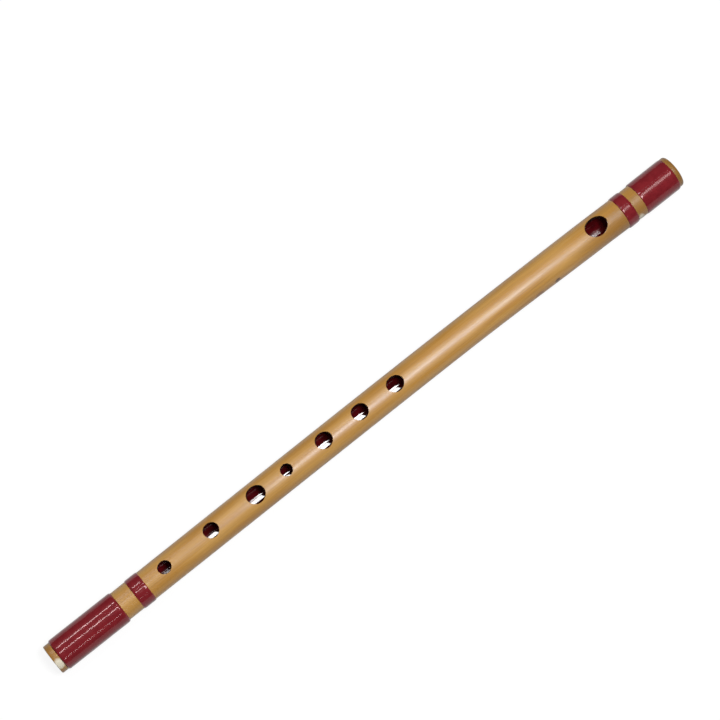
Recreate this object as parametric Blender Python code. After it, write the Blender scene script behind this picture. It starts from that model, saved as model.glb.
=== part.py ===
"""A shinobue: a side-blown flute of one length of bamboo cane, with a mouth hole and seven finger holes.

Units are metres. The flute lies on z = 0 with +X toward its head and +Z up through its holes.
Inside this file x is measured along the flute from the tail end.
"""

import math

import bmesh
import bpy
from mathutils import Matrix, Vector

# Cane
LENGTH = 0.440
TAIL_DIA = 0.0180
MIDDLE_DIA = 0.0184
SWELL_DIA = 0.0194
HEAD_DIA = 0.0195
WALL = 0.0023              # at the tail end, where the cane is thinnest
SWELL_FROM_HEAD = 0.058    # where the cane has swollen almost to its width at the head
SWELL_RUN = 0.094          # how far the cane takes to swell to that
BOW = 0.0011               # how far the middle of the cane stands off to +Y
TAIL_ROUNDING = 0.0006     # outer edge of each end
HEAD_ROUNDING = 0.0014

# The cane's natural line: places as shares of its length, offsets toward +Y as shares of its bow
CANE_LINE = ((0.0, 0.0), (0.25, 0.52), (0.5, 0.98), (0.68, 0.96), (0.87, 0.0), (0.93, -0.4), (1.0, 0.0))

# Finger holes, lowest first: distance from the tail end, length along the flute, width across it
FINGER_HOLES = (
    (0.0783, 0.0080, 0.0073),
    (0.1106, 0.0092, 0.0087),
    (0.1418, 0.0113, 0.0101),
    (0.1634, 0.0071, 0.0070),
    (0.1896, 0.0103, 0.0094),
    (0.2150, 0.0101, 0.0092),
    (0.2400, 0.0104, 0.0092),
)

# Mouth hole, from the head end, and how far it is turned toward +Y from the row of finger holes
MOUTH_FROM_HEAD = 0.0566
MOUTH_LENGTH = 0.0137
MOUTH_WIDTH = 0.0113
MOUTH_TURN = math.radians(3)

# Windings: bare cane left at the ends and between them, their lengths, and their height above the cane
TAIL_RING = 0.0039
TAIL_WRAP_LENGTH = 0.0427
TAIL_WRAP_HEIGHT = 0.0008
TAIL_GAP = 0.0096
TAIL_BAND_LENGTH = 0.0084
TAIL_BAND_HEIGHT = 0.0005
HEAD_RING = 0.0031
HEAD_WRAP_LENGTH = 0.0239
HEAD_WRAP_HEIGHT = 0.0005
HEAD_GAP = 0.0062
HEAD_BAND_LENGTH = 0.0069
HEAD_BAND_HEIGHT = 0.0006
PARING = 0.0003            # depth pared off the cane under each winding
SHOULDER = 0.0006          # rounding of a winding's outer edges

# Inside the cane
LACQUER = 0.00025          # thickness of the lacquer lining
LACQUER_INSET = 0.0002     # bare edge at the tail end
STOPPER_FROM_MOUTH = 0.0125
STOPPER_LENGTH = 0.018
PLUG_LENGTH = 0.009
PLUG_RECESS = 0.0010
PLUG_CHAMFER = 0.0005

CLEARANCE = 0.0003         # between any two pieces that touch
CANE_SIDES = 32
WINDING_SIDES = 24         # flats wide enough for the bowed flute to lie still on them
HOLE_SIDES = 24
ARC_STEPS = 3
STATION_STEP = 0.022       # longest stretch of cane between two rings of the mesh
CUTTER_REACH = 0.003       # how far a hole's cutter stands out of the cane


def ease(share):
    """0 to 1 with level ends."""
    return share * share * (3 - 2 * share)


def cane_radius(x):
    """Outside radius of the bare cane."""
    swell = LENGTH - SWELL_FROM_HEAD
    knots = (
        (0, TAIL_DIA),
        (LENGTH / 2, MIDDLE_DIA),
        (swell - SWELL_RUN, MIDDLE_DIA),
        (swell, SWELL_DIA),
        (LENGTH, HEAD_DIA),
    )
    for (start, first), (end, second) in zip(knots, knots[1:]):
        if x <= end:
            share = (x - start) / (end - start)
            return (first + (second - first) * ease(max(share, 0))) / 2
    return HEAD_DIA / 2


def cane_offset(x):
    """How far the cane's natural line stands off to +Y: a smooth curve through CANE_LINE."""
    place = min(max(x / LENGTH, 0), 1)
    last = len(CANE_LINE) - 1
    i = next(n for n in range(last) if place <= CANE_LINE[n + 1][0])
    points = [CANE_LINE[min(max(n, 0), last)] for n in (i - 1, i, i + 1, i + 2)]
    span = points[2][0] - points[1][0]
    share = (place - points[1][0]) / span
    rise_in = (points[2][1] - points[0][1]) / (points[2][0] - points[0][0]) * span
    rise_out = (points[3][1] - points[1][1]) / (points[3][0] - points[1][0]) * span
    curve = (
        points[1][1] * (1 - ease(share))
        + points[2][1] * ease(share)
        + rise_in * share * (1 - share) ** 2
        - rise_out * share ** 2 * (1 - share)
    )
    return BOW * curve


# Places along the flute
BORE_RADIUS = TAIL_DIA / 2 - WALL
MOUTH = LENGTH - MOUTH_FROM_HEAD
TAIL_WRAP = (TAIL_RING, TAIL_RING + TAIL_WRAP_LENGTH)
TAIL_BAND = (TAIL_WRAP[1] + TAIL_GAP, TAIL_WRAP[1] + TAIL_GAP + TAIL_BAND_LENGTH)
HEAD_WRAP = (LENGTH - HEAD_RING - HEAD_WRAP_LENGTH, LENGTH - HEAD_RING)
HEAD_BAND = (HEAD_WRAP[0] - HEAD_GAP - HEAD_BAND_LENGTH, HEAD_WRAP[0] - HEAD_GAP)
WINDINGS = (TAIL_WRAP, TAIL_BAND, HEAD_BAND, HEAD_WRAP)


def seat_radius(winding):
    """Radius of the pared cane that a winding lies on."""
    return min(cane_radius(winding[0]), cane_radius(winding[1])) - PARING


def stations(start, end):
    """Even places from start to end, close enough for the cane's line and taper."""
    count = max(1, math.ceil(abs(end - start) / STATION_STEP))
    return [start + (end - start) * i / count for i in range(count + 1)]


def level(start, end, radius):
    """A stretch of profile of one radius."""
    return [(x, radius) for x in stations(start, end)]


def skin(start, end):
    """A stretch of profile along the bare cane."""
    return [(x, cane_radius(x)) for x in stations(start, end)]


def corner(x, radius, rounding, first_angle):
    """A rounded corner of a profile: a quarter turn clockwise about (x, radius)."""
    angles = [first_angle - math.pi / 2 * i / ARC_STEPS for i in range(ARC_STEPS + 1)]
    return [(x + rounding * math.cos(a), radius + rounding * math.sin(a)) for a in angles]


def make_material(name, colour, roughness):
    material = bpy.data.materials.new(name)
    material.use_nodes = True
    shader = material.node_tree.nodes["Principled BSDF"]
    shader.inputs["Base Color"].default_value = (*colour, 1)
    shader.inputs["Roughness"].default_value = roughness
    shader.inputs["Metallic"].default_value = 0
    return material


def add_object(name, mesh, material, flute):
    """Turn a bmesh into a smooth-shaded object that belongs to the flute."""
    bmesh.ops.recalc_face_normals(mesh, faces=mesh.faces)
    data = bpy.data.meshes.new(name)
    mesh.to_mesh(data)
    mesh.free()
    data.shade_smooth()
    data.set_sharp_from_angle(angle=math.radians(35))
    if material:
        data.materials.append(material)
    piece = bpy.data.objects.new(name, data)
    piece.parent = flute
    bpy.context.scene.collection.objects.link(piece)
    return piece


def turned(name, profile, material, flute, sides=CANE_SIDES):
    """A solid turned about the cane's line. A profile with no point on the line closes on itself."""
    mesh = bmesh.new()
    rings = []
    for x, radius in profile:
        centre = Vector((x, cane_offset(x), 0))
        if radius == 0:
            rings.append([mesh.verts.new(centre)] * sides)
            continue
        angles = [2 * math.pi * (i + 0.5) / sides for i in range(sides)]
        rings.append([mesh.verts.new(centre + radius * Vector((0, math.cos(a), math.sin(a)))) for a in angles])
    pairs = list(zip(rings, rings[1:]))
    if profile[0][1] > 0:
        pairs.append((rings[-1], rings[0]))
    for one, other in pairs:
        for i in range(sides):
            j = (i + 1) % sides
            corners = dict.fromkeys((one[i], one[j], other[j], other[i]))
            mesh.faces.new(list(corners))
    return add_object(name, mesh, material, flute)


def cane_profile():
    """The cane from the tail end over its outside to the head end and back along its bore."""
    profile = corner(TAIL_ROUNDING, cane_radius(0) - TAIL_ROUNDING, TAIL_ROUNDING, math.pi)
    x = TAIL_ROUNDING
    for winding in WINDINGS:
        start = winding[0] - CLEARANCE
        end = winding[1] + CLEARANCE
        profile += skin(x, start)[1:]
        profile += level(start, end, seat_radius(winding))
        profile.append((end, cane_radius(end)))
        x = end
    profile += skin(x, LENGTH - HEAD_ROUNDING)[1:-1]
    profile += corner(LENGTH - HEAD_ROUNDING, cane_radius(LENGTH) - HEAD_ROUNDING, HEAD_ROUNDING, math.pi / 2)
    profile += level(LENGTH, 0, BORE_RADIUS)
    return profile


def winding_profile(winding, height):
    """A sleeve of lacquered winding with rounded shoulders."""
    start, end = winding
    flat = math.cos(math.pi / WINDING_SIDES)
    inner = (seat_radius(winding) + CLEARANCE) / flat
    outer = cane_radius((start + end) / 2) + height
    shoulder = min(SHOULDER, 0.8 * (outer - inner))
    profile = corner(start + shoulder, outer - shoulder, shoulder, math.pi)
    profile += level(start + shoulder, end - shoulder, outer)[1:-1]
    profile += corner(end - shoulder, outer - shoulder, shoulder, math.pi / 2)
    profile += level(end, start, inner)
    return profile


def lacquer_profile(stopper_face):
    """The lining of the bore: a blind tube that also covers the stopper's face."""
    outer = BORE_RADIUS - CLEARANCE
    inner = outer - LACQUER
    blind_end = stopper_face - CLEARANCE
    profile = [(blind_end, 0)]
    profile += level(blind_end, LACQUER_INSET, outer)
    profile += level(LACQUER_INSET, blind_end - LACQUER, inner)
    profile.append((blind_end - LACQUER, 0))
    return profile


def disc_profile(start, end, radius, chamfer):
    """A solid disc or rod with chamfered edges."""
    return [
        (start, 0),
        (start, radius - chamfer),
        (start + chamfer, radius),
        (end - chamfer, radius),
        (end, radius - chamfer),
        (end, 0),
    ]


def hole_cutter(flute):
    """One cutter for every hole: upright oval rods that stand on the cane's line."""
    holes = [(*hole, 0) for hole in FINGER_HOLES]
    holes.append((MOUTH, MOUTH_LENGTH, MOUTH_WIDTH, MOUTH_TURN))
    mesh = bmesh.new()
    for x, length, width, turn in holes:
        height = cane_radius(x) + CUTTER_REACH
        place = Matrix.Translation((x, cane_offset(x), 0)) @ Matrix.Rotation(-turn, 4, "X")
        size = Matrix.Diagonal((length, width, height, 1))
        rise = Matrix.Translation((0, 0, 0.5))
        bmesh.ops.create_cone(
            mesh,
            cap_ends=True,
            segments=HOLE_SIDES,
            radius1=0.5,
            radius2=0.5,
            depth=1,
            matrix=place @ size @ rise,
        )
    cutter = add_object("hole_cutter", mesh, None, flute)
    cutter.hide_render = True
    cutter.display_type = "WIRE"
    return cutter


def cut(piece, cutter):
    modifier = piece.modifiers.new("holes", "BOOLEAN")
    modifier.operation = "DIFFERENCE"
    modifier.solver = "EXACT"
    modifier.object = cutter


def lay_down(flute, pieces):
    """Move the flute so that the origin is under its middle and it lies on z = 0."""
    bpy.context.view_layer.update()
    corners = [Vector(corner) for piece in pieces for corner in piece.bound_box]
    low = Vector(min(c[i] for c in corners) for i in range(3))
    high = Vector(max(c[i] for c in corners) for i in range(3))
    flute.location = (-(low.x + high.x) / 2, -(low.y + high.y) / 2, -low.z)


def main():
    for old in list(bpy.data.objects):
        bpy.data.objects.remove(old)

    flute = bpy.data.objects.new("flute", None)
    bpy.context.scene.collection.objects.link(flute)

    bamboo = make_material("bamboo", (0.45, 0.23, 0.058), 0.38)
    red_lacquer = make_material("red_lacquer", (0.18, 0.012, 0.017), 0.22)
    bore_red = make_material("bore_red", (0.12, 0.008, 0.012), 0.15)
    cork = make_material("cork", (0.36, 0.2, 0.1), 0.9)
    plug_wood = make_material("plug_wood", (0.3, 0.15, 0.06), 0.5)

    cane = turned("bamboo_tube", cane_profile(), bamboo, flute)
    stopper_face = MOUTH + STOPPER_FROM_MOUTH
    lining = turned("bore_lacquer", lacquer_profile(stopper_face), bore_red, flute)
    cutter = hole_cutter(flute)
    cut(cane, cutter)
    cut(lining, cutter)

    stopper_end = stopper_face + STOPPER_LENGTH
    plug_end = LENGTH - PLUG_RECESS
    fit_radius = BORE_RADIUS - CLEARANCE
    stopper = disc_profile(stopper_face, stopper_end, fit_radius, PLUG_CHAMFER)
    plug = disc_profile(plug_end - PLUG_LENGTH, plug_end, fit_radius, PLUG_CHAMFER)
    pieces = [
        cane,
        lining,
        turned("head_stopper", stopper, cork, flute),
        turned("head_end_plug", plug, plug_wood, flute),
    ]
    windings = (
        ("head_wrap", HEAD_WRAP, HEAD_WRAP_HEIGHT),
        ("head_band", HEAD_BAND, HEAD_BAND_HEIGHT),
        ("tail_band", TAIL_BAND, TAIL_BAND_HEIGHT),
        ("tail_wrap", TAIL_WRAP, TAIL_WRAP_HEIGHT),
    )
    for name, winding, height in windings:
        profile = winding_profile(winding, height)
        pieces.append(turned(name, profile, red_lacquer, flute, WINDING_SIDES))
    lay_down(flute, pieces)


main()
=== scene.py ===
# Shinobue: a side-blown bamboo flute with a lacquered bore and wine-red lacquered windings.
# Everything is in metres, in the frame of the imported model: +X is the head end, +Z up through the holes.
import math

import bmesh
import bpy
from mathutils import Matrix, Vector


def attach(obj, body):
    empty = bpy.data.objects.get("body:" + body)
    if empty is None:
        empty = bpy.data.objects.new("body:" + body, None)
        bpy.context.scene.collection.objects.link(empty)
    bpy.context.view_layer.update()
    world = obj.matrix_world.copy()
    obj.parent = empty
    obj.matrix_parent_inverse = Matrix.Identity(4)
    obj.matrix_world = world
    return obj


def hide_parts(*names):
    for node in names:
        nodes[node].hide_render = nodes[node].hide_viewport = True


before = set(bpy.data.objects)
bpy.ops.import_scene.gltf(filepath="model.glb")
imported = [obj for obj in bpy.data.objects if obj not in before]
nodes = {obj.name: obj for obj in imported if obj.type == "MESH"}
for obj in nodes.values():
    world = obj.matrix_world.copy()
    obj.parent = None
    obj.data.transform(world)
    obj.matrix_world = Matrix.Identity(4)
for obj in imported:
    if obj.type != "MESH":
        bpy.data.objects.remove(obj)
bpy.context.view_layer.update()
print("frame loaded:", ", ".join(sorted(nodes)))

# The cane's line and taper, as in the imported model
cane = {
    "length": 0.440,
    "tailRadius": 0.0090,
    "middleRadius": 0.0092,
    "swellRadius": 0.0097,
    "headRadius": 0.00975,
    "swellFromHead": 0.058,
    "swellRun": 0.094,
    "bow": 0.00109,
    "boreRadius": 0.0067,
    "pared": 0.0003,           # depth of the seats under the windings
    "seatInset": 0.0001,       # each seat ends this far inside its winding
    "tailRounding": 0.0006,
    "tailRoundingSteps": 6,
    "headRounding": 0.0014,
    "headRoundingSteps": 8,
    "sides": 128,
    "outerStep": 0.0016,       # distance between rings outside,
    "seatStep": 0.004,         # in the seats
    "innerStep": 0.006,        # and inside the bore
    "lineY": 0.0001742,        # where the line of the cane lies in the frame
    "lineZ": 0.0102271,
    "modelSides": 32,          # the round cane stays inside the model's flats
}
caneLine = ((0.0, 0.0), (0.25, 0.52), (0.5, 0.98), (0.68, 0.96), (0.87, 0.0), (0.93, -0.4), (1.0, 0.0))

# Finger holes from the tail end, then the mouth hole: place, length, width, turn toward +Y in degrees
holes = {
    "places": (
        (0.0783, 0.0080, 0.0073, 0),
        (0.1106, 0.0092, 0.0087, 0),
        (0.1418, 0.0113, 0.0101, 0),
        (0.1634, 0.0071, 0.0070, 0),
        (0.1896, 0.0103, 0.0094, 0),
        (0.2150, 0.0101, 0.0092, 0),
        (0.2400, 0.0104, 0.0092, 0),
        (0.3834, 0.0137, 0.0113, 3),
    ),
    "easing": 0.0002,          # rounding of the rim
    "easingSteps": 7,
    "firstAngle": 35,          # degrees by which the rim has turned where it leaves the skin
    "sides": 128,
    "flare": 0.0009,           # how far the cutter goes on past the rim
    "peak": 0.004,             # height of the cutter's tip above the skin
}

# Windings: start and length from the tail end, height above the cane
windings = {
    "tailWrapWinding": {
        "node": "tail_wrap", "start": 0.0039, "length": 0.0427, "height": 0.0008, "seed": 3.0,
    },
    "tailBandWinding": {
        "node": "tail_band", "start": 0.0562, "length": 0.0084, "height": 0.0005, "seed": 11.0,
    },
    "headBandWinding": {
        "node": "head_band", "start": 0.3999, "length": 0.0069, "height": 0.0006, "seed": 23.0,
    },
    "headWrapWinding": {
        "node": "head_wrap", "start": 0.4130, "length": 0.0239, "height": 0.0005, "seed": 37.0,
    },
}
sharpAngle = math.radians(32)  # edges that turn more than this stay crisp


def linear(hexCode):
    # sRGB hex to the linear colour that a shader takes
    parts = [int(hexCode[i : i + 2], 16) / 255 for i in (1, 3, 5)]
    return (*[p / 12.92 if p <= 0.04045 else ((p + 0.055) / 1.055) ** 2.4 for p in parts], 1)


def addNode(tree, kind, inputs=None, **settings):
    # adds a node; an input is a plain value or another node's output to link from
    node = tree.nodes.new(kind)
    for name, value in settings.items():
        setattr(node, name, value)
    for name, value in (inputs or {}).items():
        if isinstance(value, bpy.types.NodeSocket):
            tree.links.new(value, node.inputs[name])
        else:
            node.inputs[name].default_value = value
    return node


def ease(share):
    return share * share * (3 - 2 * share)


def caneRadius(x):
    inside = math.cos(math.pi / cane["modelSides"])
    swell = cane["length"] - cane["swellFromHead"]
    knots = (
        (0, cane["tailRadius"]),
        (cane["length"] / 2, cane["middleRadius"]),
        (swell - cane["swellRun"], cane["middleRadius"]),
        (swell, cane["swellRadius"]),
        (cane["length"], cane["headRadius"]),
    )
    for (start, first), (end, second) in zip(knots, knots[1:]):
        if x <= end:
            share = ease(max((x - start) / (end - start), 0))
            return inside * (first + (second - first) * share)
    return inside * cane["headRadius"]


def caneOffset(x):
    # how far the line bows toward +Y: a smooth curve through caneLine
    place = min(max(x / cane["length"], 0), 1)
    last = len(caneLine) - 1
    i = next(n for n in range(last) if place <= caneLine[n + 1][0])
    p = [caneLine[min(max(n, 0), last)] for n in (i - 1, i, i + 1, i + 2)]
    span = p[2][0] - p[1][0]
    share = (place - p[1][0]) / span
    riseIn = (p[2][1] - p[0][1]) / (p[2][0] - p[0][0]) * span
    riseOut = (p[3][1] - p[1][1]) / (p[3][0] - p[1][0]) * span
    blend = p[1][1] * (1 - ease(share)) + p[2][1] * ease(share)
    return cane["bow"] * (blend + riseIn * share * (1 - share) ** 2 - riseOut * share**2 * (1 - share))


def onLine(x):
    # a point of the cane's line, in the frame
    return Vector((x - cane["length"] / 2, cane["lineY"] + caneOffset(x), cane["lineZ"]))


def seatRadius(winding):
    ends = (winding["start"], winding["start"] + winding["length"])
    return min(caneRadius(x) for x in ends) - cane["pared"]


def linkPiece(name, data, *materials):
    data.name = name
    for material in materials:
        data.materials.append(material)
    piece = bpy.data.objects.new(name, data)
    bpy.context.scene.collection.objects.link(piece)
    return piece


def baked(piece):
    # the piece with its modifiers applied
    graph = bpy.context.evaluated_depsgraph_get()
    data = bpy.data.meshes.new_from_object(piece.evaluated_get(graph), depsgraph=graph)
    piece.modifiers.clear()
    old = piece.data
    piece.data = data
    bpy.data.meshes.remove(old)
    return piece


def turnedMesh(profile, sides):
    # a closed profile of (x, radius) turned about the cane's line
    mesh = bmesh.new()
    angles = [2 * math.pi * (i + 0.5) / sides for i in range(sides)]
    rings = []
    for x, radius in profile:
        centre = onLine(x)
        if radius == 0:
            rings.append([mesh.verts.new(centre)] * sides)
            continue
        places = [centre + radius * Vector((0, math.cos(a), math.sin(a))) for a in angles]
        rings.append([mesh.verts.new(place) for place in places])
    pairs = list(zip(rings, rings[1:]))
    if profile[0][1] > 0:
        pairs.append((rings[-1], rings[0]))
    for one, other in pairs:
        for i in range(sides):
            j = (i + 1) % sides
            mesh.faces.new(list(dict.fromkeys((one[i], one[j], other[j], other[i]))))
    bmesh.ops.recalc_face_normals(mesh, faces=mesh.faces)
    data = bpy.data.meshes.new("turned")
    mesh.to_mesh(data)
    mesh.free()
    return data


def stepped(start, end, step):
    # places from start to end, evenly spaced and no more than a step apart
    count = max(1, math.ceil(abs(end - start) / step))
    return [start + (end - start) * i / count for i in range(count + 1)]


def corner(x, radius, rounding, firstAngle, steps):
    angles = [firstAngle - math.pi / 2 * i / steps for i in range(steps + 1)]
    return [(x + rounding * math.cos(a), radius + rounding * math.sin(a)) for a in angles]


# Materials

def newMaterial(name):
    material = bpy.data.materials.new(name)
    material.use_nodes = True
    tree = material.node_tree
    shader = tree.nodes["Principled BSDF"]
    return material, tree, shader


def markShare(tree, along, angle, ragged, mark):
    # how strongly an oval mark shows: full in its middle, gone past an edge that the mottling makes ragged
    at, degrees, length, spread, _, strength = mark
    reach = ragged
    for value, middle, half in (
        (along, at - cane["length"] / 2, length / 2),
        (angle, math.radians(degrees), math.radians(spread)),
    ):
        apart = addNode(tree, "ShaderNodeMath", {0: value, 1: middle}, operation="SUBTRACT").outputs[0]
        share = addNode(tree, "ShaderNodeMath", {0: apart, 1: half}, operation="DIVIDE").outputs[0]
        reach = addNode(tree, "ShaderNodeMath", {
            0: share, 1: share, 2: reach,
        }, operation="MULTIPLY_ADD").outputs[0]
    full, gone = 0.8, 1.7
    return addNode(tree, "ShaderNodeMapRange", {
        "Value": reach, "From Min": full, "From Max": gone, "To Min": strength, "To Max": 0.0,
    }, interpolation_type="SMOOTHSTEP").outputs[0]


def makeBambooSkin():
    # Female bamboo, scraped and rubbed with oil: a warm straw skin with fine lengthwise fibres and a satin
    # gloss, which the fibres spread across the cane.
    finish = {
        "straw": "#C4954E",
        "honey": "#B8853B",
        "mottleWidth": 0.004,
        "mottleLength": 0.05,
        "mottleRange": (0.35, 0.65),    # of the noise, from all straw to all honey
        "fibre": "#8E6428",
        "fibreWidth": 0.00035,          # fibre bundles show as streaks this wide
        "fibreLength": 0.045,
        "fibreRange": (0.5, 0.78),      # of the noise, from no fibre to the darkest
        "fibreStrength": 0.6,
        "roughRange": (0.3, 0.7),       # of the same noise, from the smoothest to the roughest skin
        "roughness": (0.24, 0.34),
        "spread": 0.8,                  # how much wider a highlight is across the cane than along it
        "ridgeHeight": 0.00002,
        "ior": 1.5,
        "specular": 0.45,
        "sheen": "#E6F1FF",
    }
    # Marks of this piece of cane, with painted shade on the lower side toward the head end and a painted
    # highlight at the tail end:
    # place along it from the tail end, degrees from the top toward -Y, length, spread in degrees, colour
    # and strength
    marks = {
        "brownTailEnd": (0.0, 0, 0.0085, 500, "#96692C", 0.75),
        "brownHeadEnd": (0.440, 0, 0.0070, 500, "#8A6228", 0.8),
        # painted shade: the lower side toward the head end is darkened, as where less light falls on it
        "paintedShadeHeadSide": (0.440, 65, 0.150, 115, "#8A5F28", 0.65),
        # painted highlight: a cream patch where light glances off the rounded tail end
        "paintedHighlightTailEdge": (0.0019, 37, 0.0060, 25, "#E9E2CC", 0.9),
        # a cream patch low on the cane between the head band and the head wrap
        "creamHeadGapPatch": (0.4083, 86, 0.0050, 26, "#E9E2CC", 0.85),
        "barkFleck": (0.3356, 79, 0.0070, 14, "#7A4A26", 0.6),
        "smallBarkFleck": (0.3485, 77, 0.0044, 13, "#4E3018", 0.85),
    }
    material, tree, shader = newMaterial("oiledBambooSkin")
    place = addNode(tree, "ShaderNodeTexCoord").outputs["Object"]
    noises = []
    for width, length, detail in (
        (finish["fibreWidth"], finish["fibreLength"], 3.0),
        (finish["mottleWidth"], finish["mottleLength"], 2.0),
    ):
        scaled = addNode(tree, "ShaderNodeMapping", {
            "Vector": place, "Scale": (1 / length, 1 / width, 1 / width),
        }).outputs[0]
        noises.append(addNode(tree, "ShaderNodeTexNoise", {
            "Vector": scaled, "Scale": 1.0, "Detail": detail,
        }).outputs["Fac"])
    fibres, mottle = noises

    mottleShare = addNode(tree, "ShaderNodeMapRange", {
        "Value": mottle, "From Min": finish["mottleRange"][0], "From Max": finish["mottleRange"][1],
    }).outputs[0]
    colour = addNode(tree, "ShaderNodeMix", {
        0: mottleShare, 6: linear(finish["straw"]), 7: linear(finish["honey"]),
    }, data_type="RGBA").outputs[2]
    fibreShare = addNode(tree, "ShaderNodeMapRange", {
        "Value": fibres, "From Min": finish["fibreRange"][0], "From Max": finish["fibreRange"][1],
        "To Max": finish["fibreStrength"],
    }).outputs[0]
    colour = addNode(tree, "ShaderNodeMix", {
        0: fibreShare, 6: colour, 7: linear(finish["fibre"]),
    }, data_type="RGBA").outputs[2]

    parts = addNode(tree, "ShaderNodeSeparateXYZ", {0: place}).outputs
    height = addNode(tree, "ShaderNodeMath", {
        0: parts["Z"], 1: cane["lineZ"],
    }, operation="SUBTRACT").outputs[0]
    side = addNode(tree, "ShaderNodeMath", {
        0: cane["lineY"], 1: parts["Y"],
    }, operation="SUBTRACT").outputs[0]
    angle = addNode(tree, "ShaderNodeMath", {0: side, 1: height}, operation="ARCTAN2").outputs[0]
    # the marks are mixed into the colour, the painted shade and painted highlight among them
    for mark in marks.values():
        colour = addNode(tree, "ShaderNodeMix", {
            0: markShare(tree, parts["X"], angle, mottle, mark), 6: colour, 7: linear(mark[4]),
        }, data_type="RGBA").outputs[2]
    tree.links.new(colour, shader.inputs["Base Color"])

    rough = addNode(tree, "ShaderNodeMapRange", {
        "Value": fibres, "From Min": finish["roughRange"][0], "From Max": finish["roughRange"][1],
        "To Min": finish["roughness"][0], "To Max": finish["roughness"][1],
    })
    tree.links.new(rough.outputs[0], shader.inputs["Roughness"])
    ridges = addNode(tree, "ShaderNodeBump", {
        "Height": fibres, "Strength": 1.0, "Distance": finish["ridgeHeight"],
    })
    tree.links.new(ridges.outputs[0], shader.inputs["Normal"])
    around = addNode(tree, "ShaderNodeTangent", direction_type="RADIAL", axis="X")
    tree.links.new(around.outputs[0], shader.inputs["Tangent"])
    shader.inputs["IOR"].default_value = finish["ior"]
    shader.inputs["Specular IOR Level"].default_value = finish["specular"]
    shader.inputs["Specular Tint"].default_value = linear(finish["sheen"])
    shader.inputs["Anisotropic"].default_value = finish["spread"]
    return material


def makeBareCaneEdge():
    # Cut bamboo, sanded: paler than the skin and dry, with the fibre ends showing as fine dots.
    finish = {
        "pale": "#D6B87C",
        "deep": "#A8803F",
        "dotSize": 0.0004,
        "dotLength": 0.004,
        "dotRange": (0.4, 0.75),
        "dotHeight": 0.00005,
        "dotStrength": 0.4,
        "roughness": 0.6,
    }
    material, tree, shader = newMaterial("sandedCaneEdge")
    place = addNode(tree, "ShaderNodeTexCoord").outputs["Object"]
    scaled = addNode(tree, "ShaderNodeMapping", {
        "Vector": place, "Scale": (1 / finish["dotLength"], 1 / finish["dotSize"], 1 / finish["dotSize"]),
    }).outputs[0]
    dots = addNode(tree, "ShaderNodeTexNoise", {
        "Vector": scaled, "Scale": 1.0, "Detail": 2.0,
    }).outputs["Fac"]
    share = addNode(tree, "ShaderNodeMapRange", {
        "Value": dots, "From Min": finish["dotRange"][0], "From Max": finish["dotRange"][1],
    }).outputs[0]
    tone = addNode(tree, "ShaderNodeMix", {
        0: share, 6: linear(finish["pale"]), 7: linear(finish["deep"]),
    }, data_type="RGBA")
    tree.links.new(tone.outputs[2], shader.inputs["Base Color"])
    rise = addNode(tree, "ShaderNodeBump", {
        "Height": dots, "Strength": finish["dotStrength"], "Distance": finish["dotHeight"],
    })
    tree.links.new(rise.outputs[0], shader.inputs["Normal"])
    shader.inputs["Roughness"].default_value = finish["roughness"]
    return material


# Urushi lacquer, brushed on in several coats: deep wine red and glossy, with slightly darker patches.
# On the windings it is polished, in the bore it has pooled to a wet gloss, and in the holes it is thin
# and dull, with its colour painted near black as shade.
lacquers = {
    "wineRedUrushi": {
        "base": "#802228", "deep": "#731B22", "patchSize": 0.004,
        "roughness": 0.15, "specular": 0.35, "sheen": "#FFE2E2", "coat": 0.0,
    },
    "boreUrushi": {
        "base": "#5A0D13", "deep": "#3C070B", "patchSize": 0.006,
        "roughness": 0.1, "specular": 0.5, "sheen": "#FFFFFF", "coat": 0.8,
    },
    # painted shade: the hole walls' lacquer is near black for the shade that falls inside the holes
    "holeUrushiPaintedShade": {
        "base": "#2C0709", "deep": "#200406", "patchSize": 0.003,
        "roughness": 0.5, "specular": 0.15, "sheen": "#FFFFFF", "coat": 0.0,
    },
}
lacquerMake = {"patchRange": (0.35, 0.7), "ior": 1.5, "coatRoughness": 0.05}


def makeLacquer(name):
    finish = lacquers[name]
    material, tree, shader = newMaterial(name)
    place = addNode(tree, "ShaderNodeTexCoord").outputs["Object"]
    scaled = addNode(tree, "ShaderNodeMapping", {
        "Vector": place, "Scale": (1 / finish["patchSize"],) * 3,
    }).outputs[0]
    patches = addNode(tree, "ShaderNodeTexNoise", {"Vector": scaled, "Scale": 1.0, "Detail": 3.0})
    share = addNode(tree, "ShaderNodeMapRange", {
        "Value": patches.outputs["Fac"],
        "From Min": lacquerMake["patchRange"][0], "From Max": lacquerMake["patchRange"][1],
    }).outputs[0]
    tone = addNode(tree, "ShaderNodeMix", {
        0: share, 6: linear(finish["base"]), 7: linear(finish["deep"]),
    }, data_type="RGBA")
    tree.links.new(tone.outputs[2], shader.inputs["Base Color"])
    shader.inputs["Roughness"].default_value = finish["roughness"]
    shader.inputs["IOR"].default_value = lacquerMake["ior"]
    shader.inputs["Specular IOR Level"].default_value = finish["specular"]
    shader.inputs["Specular Tint"].default_value = linear(finish["sheen"])
    shader.inputs["Coat Weight"].default_value = finish["coat"]
    shader.inputs["Coat Roughness"].default_value = lacquerMake["coatRoughness"]
    return material


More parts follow.
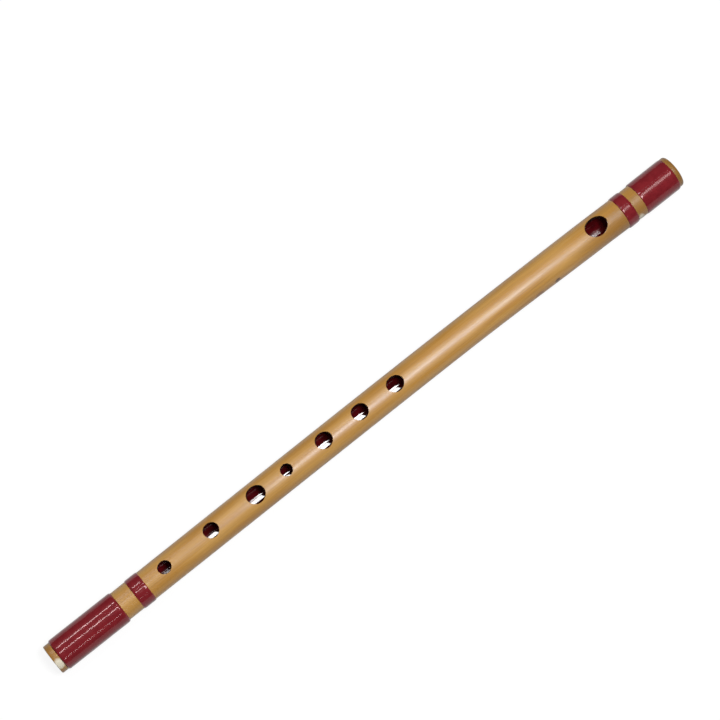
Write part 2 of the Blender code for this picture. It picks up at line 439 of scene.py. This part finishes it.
def makeCork():
    # Cork, cut and glued: warm brown, dry, with dark pits a millimetre across.
    finish = {
        "light": "#B08A62",
        "dark": "#7A5638",
        "pitSize": 0.0011,
        "pitRange": (0.1, 0.7),
        "pitDepth": 0.0001,
        "pitStrength": 0.5,
        "roughness": 0.85,
    }
    material, tree, shader = newMaterial("cutCork")
    place = addNode(tree, "ShaderNodeTexCoord").outputs["Object"]
    scaled = addNode(tree, "ShaderNodeMapping", {
        "Vector": place, "Scale": (1 / finish["pitSize"],) * 3,
    }).outputs[0]
    cells = addNode(tree, "ShaderNodeTexVoronoi", {"Vector": scaled, "Scale": 1.0}).outputs["Distance"]
    share = addNode(tree, "ShaderNodeMapRange", {
        "Value": cells, "From Min": finish["pitRange"][0], "From Max": finish["pitRange"][1],
    }).outputs[0]
    tone = addNode(tree, "ShaderNodeMix", {
        0: share, 6: linear(finish["dark"]), 7: linear(finish["light"]),
    }, data_type="RGBA")
    tree.links.new(tone.outputs[2], shader.inputs["Base Color"])
    rise = addNode(tree, "ShaderNodeBump", {
        "Height": cells, "Strength": finish["pitStrength"], "Distance": finish["pitDepth"],
    })
    tree.links.new(rise.outputs[0], shader.inputs["Normal"])
    shader.inputs["Roughness"].default_value = finish["roughness"]
    return material


def makePlugWood():
    # A disc of turned hardwood, oiled: mid brown with light and dark rings, each about a millimetre wide.
    finish = {
        "light": "#9A6B42",
        "dark": "#6A4526",
        "ringWidth": 0.0011,
        "ringsToScale": 6.283,     # a wave texture at scale 1 has about this many light and dark bands
        "wander": 2.0,             # how much the rings stray from a straight line
        "roughness": 0.5,
    }
    material, tree, shader = newMaterial("turnedPlugWood")
    place = addNode(tree, "ShaderNodeTexCoord").outputs["Object"]
    scaled = addNode(tree, "ShaderNodeMapping", {
        "Vector": place, "Scale": (1 / finish["ringWidth"] / finish["ringsToScale"],) * 3,
    }).outputs[0]
    rings = addNode(tree, "ShaderNodeTexWave", {
        "Vector": scaled, "Scale": 1.0, "Distortion": finish["wander"], "Detail": 2.0,
    }, wave_type="BANDS", bands_direction="Y").outputs["Fac"]
    tone = addNode(tree, "ShaderNodeMix", {
        0: rings, 6: linear(finish["light"]), 7: linear(finish["dark"]),
    }, data_type="RGBA")
    tree.links.new(tone.outputs[2], shader.inputs["Base Color"])
    shader.inputs["Roughness"].default_value = finish["roughness"]
    return material


bambooSkin = makeBambooSkin()
caneEdge = makeBareCaneEdge()
windingLacquer, boreLacquer, holeLacquerPaintedShade = [makeLacquer(name) for name in lacquers]
cork = makeCork()
plugWood = makePlugWood()
print("materials made:", len(bpy.data.materials))


# Cane

def caneProfile():
    # the outline from the tail end over the seats to the head end, and back through the bore
    tailRounding = cane["tailRounding"]
    headRounding = cane["headRounding"]
    headStart = cane["length"] - headRounding
    x = tailRounding
    profile = corner(x, caneRadius(0) - tailRounding, tailRounding, math.pi, cane["tailRoundingSteps"])
    for winding in windings.values():
        start = winding["start"] + cane["seatInset"]
        end = winding["start"] + winding["length"] - cane["seatInset"]
        profile += [(at, caneRadius(at)) for at in stepped(x, start, cane["outerStep"])[1:]]
        profile += [(at, seatRadius(winding)) for at in stepped(start, end, cane["seatStep"])]
        profile.append((end, caneRadius(end)))
        x = end
    profile += [(at, caneRadius(at)) for at in stepped(x, headStart, cane["outerStep"])[1:-1]]
    headRadius = caneRadius(cane["length"]) - headRounding
    profile += corner(headStart, headRadius, headRounding, math.pi / 2, cane["headRoundingSteps"])
    profile += [(at, cane["boreRadius"]) for at in stepped(cane["length"], 0, cane["innerStep"])]
    return profile


def holeCutter():
    # For every hole an oval rod whose rim follows the round of the cane and flares out in an eased edge.
    # What the flare cuts is bare cane, and the wall below it is lacquered, in a lacquer painted near black
    # as shade.
    steps = holes["easingSteps"]
    easing = holes["easing"]
    first = math.radians(holes["firstAngle"])
    angles = [first + (math.pi / 2 - first) * i / steps for i in range(steps + 1)]
    levels = [(easing * (1 - math.sin(a)), easing * (math.cos(first) - math.cos(a))) for a in angles]
    flare = holes["flare"]
    levels.insert(0, (levels[0][0] + flare * math.cos(first), -flare * math.sin(first)))
    mesh = bmesh.new()
    for place, length, width, turn in holes["places"]:
        radius = caneRadius(place)
        spin = Matrix.Rotation(math.radians(-turn), 3, "X")
        rings = []
        for spread, depth in levels + [(0, None)]:
            ring = []
            for i in range(holes["sides"]):
                a = 2 * math.pi * i / holes["sides"]
                x = (length / 2 + spread) * math.cos(a)
                y = (width / 2 + spread) * math.sin(a)
                z = 0 if depth is None else math.sqrt(radius**2 - y**2) - depth
                ring.append(mesh.verts.new(onLine(place) + spin @ Vector((x, y, z))))
            rings.append(ring)
        for level, (one, other) in enumerate(zip(rings, rings[1:])):
            for i in range(holes["sides"]):
                j = (i + 1) % holes["sides"]
                face = mesh.faces.new((one[i], one[j], other[j], other[i]))
                face.material_index = min(level, 1)
        mesh.faces.new(rings[-1]).material_index = 1
        top = mesh.verts.new(onLine(place) + spin @ Vector((0, 0, radius + holes["peak"])))
        for i in range(holes["sides"]):
            mesh.faces.new((rings[0][i], rings[0][(i + 1) % holes["sides"]], top))
    bmesh.ops.recalc_face_normals(mesh, faces=mesh.faces)
    data = bpy.data.meshes.new("holeCutter")
    mesh.to_mesh(data)
    mesh.free()
    return linkPiece("holeCutter", data, caneEdge, holeLacquerPaintedShade)


def cutHoles(piece, cutter):
    modifier = piece.modifiers.new("holes", "BOOLEAN")
    modifier.operation = "DIFFERENCE"
    modifier.solver = "EXACT"
    modifier.material_mode = "TRANSFER"
    modifier.object = cutter
    baked(piece)
    piece.data.shade_smooth()
    piece.data.set_sharp_from_angle(angle=sharpAngle)


cutter = holeCutter()
caneTube = linkPiece("caneTube", turnedMesh(caneProfile(), cane["sides"]), bambooSkin)
cutHoles(caneTube, cutter)
print("cane made:", len(caneTube.data.polygons), "faces")

# Lining of the bore: lacquer that covers the cane's inside and the stopper's face. It dried with the flute
# lying down, so it stands in a shallow pool along the bottom, whose flat top shows as a bright glint.
lining = {
    "outer": 0.00668,
    "inner": 0.00635,
    "inset": 0.0002,           # from the tail end
    "end": 0.3956,             # at the stopper
    "endThickness": 0.0003,
    "poolDepth": 0.0001,
    "sides": 320,
    "step": 0.006,
}


def liningProfile():
    wallEnd = lining["end"] - lining["endThickness"]
    outer = [(x, lining["outer"]) for x in stepped(lining["end"], lining["inset"], lining["step"])]
    inner = [(x, lining["inner"]) for x in stepped(lining["inset"], wallEnd, lining["step"])]
    return [(lining["end"], 0)] + outer + inner + [(wallEnd, 0)]


def fillPool(data):
    # lifts the bottom of the lining's inner side to the level top of the pool
    poolTop = cane["lineZ"] - lining["inner"] + lining["poolDepth"]
    innerSide = (lining["inner"] + lining["outer"]) / 2
    for vertex in data.vertices:
        centre = onLine(vertex.co.x + cane["length"] / 2)
        if math.hypot(vertex.co.y - centre.y, vertex.co.z - centre.z) < innerSide:
            vertex.co.z = max(vertex.co.z, poolTop)


boreLining = linkPiece("boreLining", turnedMesh(liningProfile(), lining["sides"]), boreLacquer)
fillPool(boreLining.data)
cutHoles(boreLining, cutter)
bpy.data.objects.remove(cutter)
print("bore lining made:", len(boreLining.data.polygons), "faces")

# Windings: thread wound in close turns and covered with lacquer, which leaves faint turns and soft lumps
windingMake = {
    "sides": 160,
    "meshStep": 0.00019,       # distance between the rings of a winding's mesh
    "shoulder": 0.0006,
    "shoulderSteps": 6,
    "shoulderShare": 0.45,     # of the thickness, the most that the rounding of a shoulder takes
    "pitch": 0.00075,          # from turn to turn of the thread under the lacquer
    "rippleDepth": 0.000004,
    "lumpDepth": 0.00008,
    "lumpSize": 0.0032,
    "lumpDetail": 0.4,
    "highestLump": 0.8,        # of the noise, where a lump would reach the sleeve's full size
    "endRun": 0.0014,          # the last turns sink this far along, down to the cane's skin
    "clearance": 0.00002,      # between a sleeve and its seat
    "proud": 0.00002,          # kept between the thickest sleeve and the floor
}

# What the tree works out, each from what stands above it: name, operation and terms
windingSums = (
    ("thickness", "SUBTRACT", "Outer radius", "Inner radius"),
    ("both radii", "ADD", "Outer radius", "Inner radius"),
    ("middle radius", "MULTIPLY", "both radii", 0.5),
    # turns of the thread: a wave along the sleeve that advances one pitch in each round
    ("angle", "ARCTAN2", "y", "x"),
    ("turns", "DIVIDE", "z", "Pitch"),
    ("phase", "MULTIPLY_ADD", "turns", 2 * math.pi, "angle"),
    ("half phase", "MULTIPLY", "phase", 0.5),
    ("swing", "SINE", "half phase"),
    ("round of the thread", "ABSOLUTE", "swing"),
    ("below the top", "SUBTRACT", "round of the thread", 1.0),
    ("ripple", "MULTIPLY", "below the top", "Ripple depth"),
    # lumps of lacquer, always inward so that the sleeve keeps its outer size
    ("lumps in a metre", "DIVIDE", 1.0, "Lump size"),
    ("below a lump", "SUBTRACT", "lump noise", windingMake["highestLump"]),
    ("lump rise", "MULTIPLY", "below a lump", "Lump depth"),
    # both ends sink in an easy curve, as where a thread's end is tucked in and lacquered over
    ("half length", "MULTIPLY", "Length", 0.5),
    ("from the middle", "ABSOLUTE", "z"),
    ("from the end", "SUBTRACT", "half length", "from the middle"),
    ("sink", "MULTIPLY", "end share", "End drop"),
    # only the outside of the sleeve is shaped
    ("y squared", "MULTIPLY", "y", "y"),
    ("radius squared", "MULTIPLY_ADD", "x", "x", "y squared"),
    ("radius", "SQRT", "radius squared"),
    ("outside", "GREATER_THAN", "radius", "middle radius"),
    ("surface", "ADD", "ripple", "lump rise"),
    ("sunk surface", "SUBTRACT", "surface", "sink"),
    ("rise", "MULTIPLY", "sunk surface", "outside"),
)


def windingTree():
    tree = bpy.data.node_groups.new("lacqueredWinding", "GeometryNodeTree")
    inputs = {"Sides": "Int", "Shoulder steps": "Int", "Lacquer": "Material"}
    for name in ("Length", "Inner radius", "Outer radius", "Shoulder", "Mesh step", "Pitch",
                 "Ripple depth", "Lump depth", "Lump size", "End run", "End drop", "Seed"):
        inputs[name] = "Float"
    for name, kind in inputs.items():
        tree.interface.new_socket(name=name, in_out="INPUT", socket_type="NodeSocket" + kind)
    tree.interface.new_socket(name="Geometry", in_out="OUTPUT", socket_type="NodeSocketGeometry")

    given = addNode(tree, "NodeGroupInput").outputs
    place = addNode(tree, "GeometryNodeInputPosition").outputs[0]
    parts = addNode(tree, "ShaderNodeSeparateXYZ", {0: place}).outputs
    lumps = addNode(tree, "ShaderNodeTexNoise", {
        "W": given["Seed"], "Scale": 1.0, "Detail": windingMake["lumpDetail"],
    }, noise_dimensions="4D")
    endShare = addNode(tree, "ShaderNodeMapRange", {
        "From Min": 0.0, "From Max": given["End run"], "To Min": 1.0, "To Max": 0.0,
    }, interpolation_type="SMOOTHSTEP")
    known = {name: given[name] for name in inputs}
    known.update({
        "x": parts["X"], "y": parts["Y"], "z": parts["Z"],
        "lump noise": lumps.outputs[0], "end share": endShare.outputs[0],
    })
    for name, operation, *terms in windingSums:
        values = {i: known.get(term, term) for i, term in enumerate(terms)}
        known[name] = addNode(tree, "ShaderNodeMath", values, operation=operation).outputs[0]
    lumpPlace = addNode(tree, "ShaderNodeVectorMath", {
        0: place, 1: known["lumps in a metre"],
    }, operation="MULTIPLY")
    tree.links.new(lumpPlace.outputs[0], lumps.inputs["Vector"])
    tree.links.new(known["from the end"], endShare.inputs["Value"])

    section = addNode(tree, "GeometryNodeCurvePrimitiveQuadrilateral", {
        "Width": known["thickness"], "Height": given["Length"],
    })
    rounded = addNode(tree, "GeometryNodeFilletCurve", {
        "Curve": section.outputs[0], "Count": given["Shoulder steps"], "Radius": given["Shoulder"],
    }, mode="POLY")
    fine = addNode(tree, "GeometryNodeResampleCurve", {
        "Curve": rounded.outputs[0], "Length": given["Mesh step"],
    }, mode="LENGTH")
    hoop = addNode(tree, "GeometryNodeCurvePrimitiveCircle", {
        "Resolution": given["Sides"], "Radius": known["middle radius"],
    })
    sleeve = addNode(tree, "GeometryNodeCurveToMesh", {
        "Curve": hoop.outputs[0], "Profile Curve": fine.outputs[0],
    })
    normal = addNode(tree, "GeometryNodeInputNormal").outputs[0]
    offset = addNode(tree, "ShaderNodeVectorMath", {0: normal, "Scale": known["rise"]}, operation="SCALE")
    shaped = addNode(tree, "GeometryNodeSetPosition", {
        "Geometry": sleeve.outputs[0], "Offset": offset.outputs[0],
    })
    smooth = addNode(tree, "GeometryNodeSetShadeSmooth", {"Geometry": shaped.outputs[0]})
    real = addNode(tree, "GeometryNodeRealizeInstances", {"Geometry": smooth.outputs[0]})
    done = addNode(tree, "GeometryNodeSetMaterial", {
        "Geometry": real.outputs[0], "Material": given["Lacquer"],
    })
    addNode(tree, "NodeGroupOutput", {0: done.outputs[0]})
    return tree


windingNodes = windingTree()
inputName = {
    item.name: item.identifier
    for item in windingNodes.interface.items_tree
    if item.in_out == "INPUT"
}


def makeWinding(name, winding):
    middle = winding["start"] + winding["length"] / 2
    outer = min(caneRadius(middle) + winding["height"], cane["lineZ"] - windingMake["proud"])
    inner = seatRadius(winding) + windingMake["clearance"]
    shoulder = min(windingMake["shoulder"], windingMake["shoulderShare"] * (outer - inner))
    piece = linkPiece(name, bpy.data.meshes.new(name), windingLacquer)
    modifier = piece.modifiers.new("winding", "NODES")
    modifier.node_group = windingNodes
    sizes = {
        "Length": winding["length"],
        "Inner radius": inner,
        "Outer radius": outer,
        "Shoulder": shoulder,
        "Mesh step": windingMake["meshStep"],
        "Pitch": windingMake["pitch"],
        "Ripple depth": windingMake["rippleDepth"],
        "Lump depth": windingMake["lumpDepth"],
        "Lump size": windingMake["lumpSize"],
        "End run": windingMake["endRun"],
        "End drop": max(outer - shoulder - caneRadius(winding["start"]), 0.0),
        "Seed": winding["seed"],
        "Sides": windingMake["sides"],
        "Shoulder steps": windingMake["shoulderSteps"],
        "Lacquer": windingLacquer,
    }
    for label, value in sizes.items():
        modifier[inputName[label]] = value
    baked(piece)
    # the sleeve's Z lies along +X
    upright = Matrix(((0, 0, 1, 0), (0, 1, 0, 0), (-1, 0, 0, 0), (0, 0, 0, 1)))
    piece.data.transform(Matrix.Translation(onLine(middle)) @ upright)
    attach(piece, "root")
    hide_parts(winding["node"])
    print(name, "made:", len(piece.data.polygons), "faces")


for name, winding in windings.items():
    makeWinding(name, winding)

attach(caneTube, "root")
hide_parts("bamboo_tube")
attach(boreLining, "root")
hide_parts("bore_lacquer")

# The two plugs keep the model's own shape
for nodeName, material in (("head_stopper", cork), ("head_end_plug", plugWood)):
    for slot in nodes[nodeName].material_slots:
        slot.material = material

# Floor, world and lamps
studio = {
    "floorSize": 6.0,
    "floorColour": "#6E6E6E",
    "floorRoughness": 0.9,
    "floorLift": 0.87,         # light of its own: the floor looks white and keeps a soft shadow
    "worldStrength": 0.09,
}

# Each lamp: place, size along the flute and across it, power in watts
lamps = {
    "keySoftbox": ((0.225, -0.395, 1.5), (0.40, 0.45), 16.2),
    "headSoftbox": ((0.575, -0.19, 1.5), (0.09, 0.40), 1.7),
    "poolStrip": ((0.195, 0.33, 1.5), (0.59, 0.09), 3.3),
    "tailLamp": ((-0.20, -0.13, 1.55), (0.16, 0.08), 1.8),
    "leftStrip": ((-0.20, 0.90, 1.30), (0.16, 0.07), 2.0),
    "rightStrip": ((-0.235, -1.27, 0.92), (0.07, 0.08), 0.5),
    "softFill": ((-0.3, 1.2, 1.6), (1.6, 1.2), 1.5),
}


def addLamp(name, place, size, power):
    # a rectangle that faces the middle of the flute, with its first side along it
    data = bpy.data.lights.new(name, "AREA")
    data.shape = "RECTANGLE"
    data.size, data.size_y = size
    data.energy = power
    lamp = bpy.data.objects.new(name, data)
    back = Vector(place).normalized()
    side = Vector((1, 0, 0))
    side = (side - back * side.dot(back)).normalized()
    turn = Matrix((side, back.cross(side), back)).transposed().to_4x4()
    lamp.matrix_world = Matrix.Translation(place) @ turn
    bpy.context.scene.collection.objects.link(lamp)


for name, (place, size, power) in lamps.items():
    addLamp(name, place, size, power)

world = bpy.data.worlds.new("studioWorld")
world.use_nodes = True
worldShade = world.node_tree.nodes["Background"]
worldShade.inputs["Color"].default_value = (1, 1, 1, 1)
worldShade.inputs["Strength"].default_value = studio["worldStrength"]
bpy.context.scene.world = world

floorMaterial, floorTree, floorShader = newMaterial("palePaper")
floorShader.inputs["Base Color"].default_value = linear(studio["floorColour"])
floorShader.inputs["Roughness"].default_value = studio["floorRoughness"]
floorShader.inputs["Specular IOR Level"].default_value = 0.0
floorShader.inputs["Emission Color"].default_value = (1, 1, 1, 1)
path = addNode(floorTree, "ShaderNodeLightPath").outputs
seen = path["Is Camera Ray"]
for ray in ("Is Glossy Ray", "Is Transmission Ray"):
    seen = addNode(floorTree, "ShaderNodeMath", {0: seen, 1: path[ray]}, operation="MAXIMUM").outputs[0]
lift = addNode(floorTree, "ShaderNodeMath", {0: seen, 1: studio["floorLift"]}, operation="MULTIPLY")
floorTree.links.new(lift.outputs[0], floorShader.inputs["Emission Strength"])

half = studio["floorSize"] / 2
corners = [(-half, -half, 0), (half, -half, 0), (half, half, 0), (-half, half, 0)]
floorMesh = bpy.data.meshes.new("floor")
floorMesh.from_pydata(corners, [], [(0, 1, 2, 3)])
floor = linkPiece("floor", floorMesh, floorMaterial)

# Camera: the photograph's view, from the flute's place, tilt and size in the frame
view = {
    "target": (0.0138, 0.0001742, 0.0102271),   # the point of the flute nearest the middle of the picture
    "distance": 1.5176,
    "aside": 0.02510,          # the middle of the picture lies this far to the flute's left
    "tilt": 7.06,              # head end farther away
    "roll": 12.4,              # line of sight leans toward -Y
    "headAngle": 38.165,       # the flute's direction in the picture, above level
    "lens": 137.0,
    "sensor": 36.0,
    "nearest": 0.05,
    "farthest": 50.0,
}


def addCamera():
    tilt = math.radians(view["tilt"])
    roll = math.radians(view["roll"])
    headAngle = math.radians(view["headAngle"])
    level = Vector((1, 0, 0))
    upright = Vector((0, -math.sin(roll), math.cos(roll)))
    across = Vector((0, math.cos(roll), math.sin(roll)))
    alongFlute = math.cos(tilt) * level + math.sin(tilt) * upright
    toCamera = -math.sin(tilt) * level + math.cos(tilt) * upright
    right = math.cos(headAngle) * alongFlute - math.sin(headAngle) * across
    up = math.sin(headAngle) * alongFlute + math.cos(headAngle) * across
    eye = Vector(view["target"]) + view["aside"] * across + view["distance"] * toCamera
    data = bpy.data.cameras.new("photoCamera")
    data.lens = view["lens"]
    data.sensor_width = view["sensor"]
    data.clip_start = view["nearest"]
    data.clip_end = view["farthest"]
    camera = bpy.data.objects.new("photoCamera", data)
    camera.matrix_world = Matrix.Translation(eye) @ Matrix((right, up, toCamera)).transposed().to_4x4()
    bpy.context.scene.collection.objects.link(camera)
    bpy.context.scene.camera = camera


addCamera()
bpy.context.scene.view_settings.view_transform = "Standard"
print("studio made")
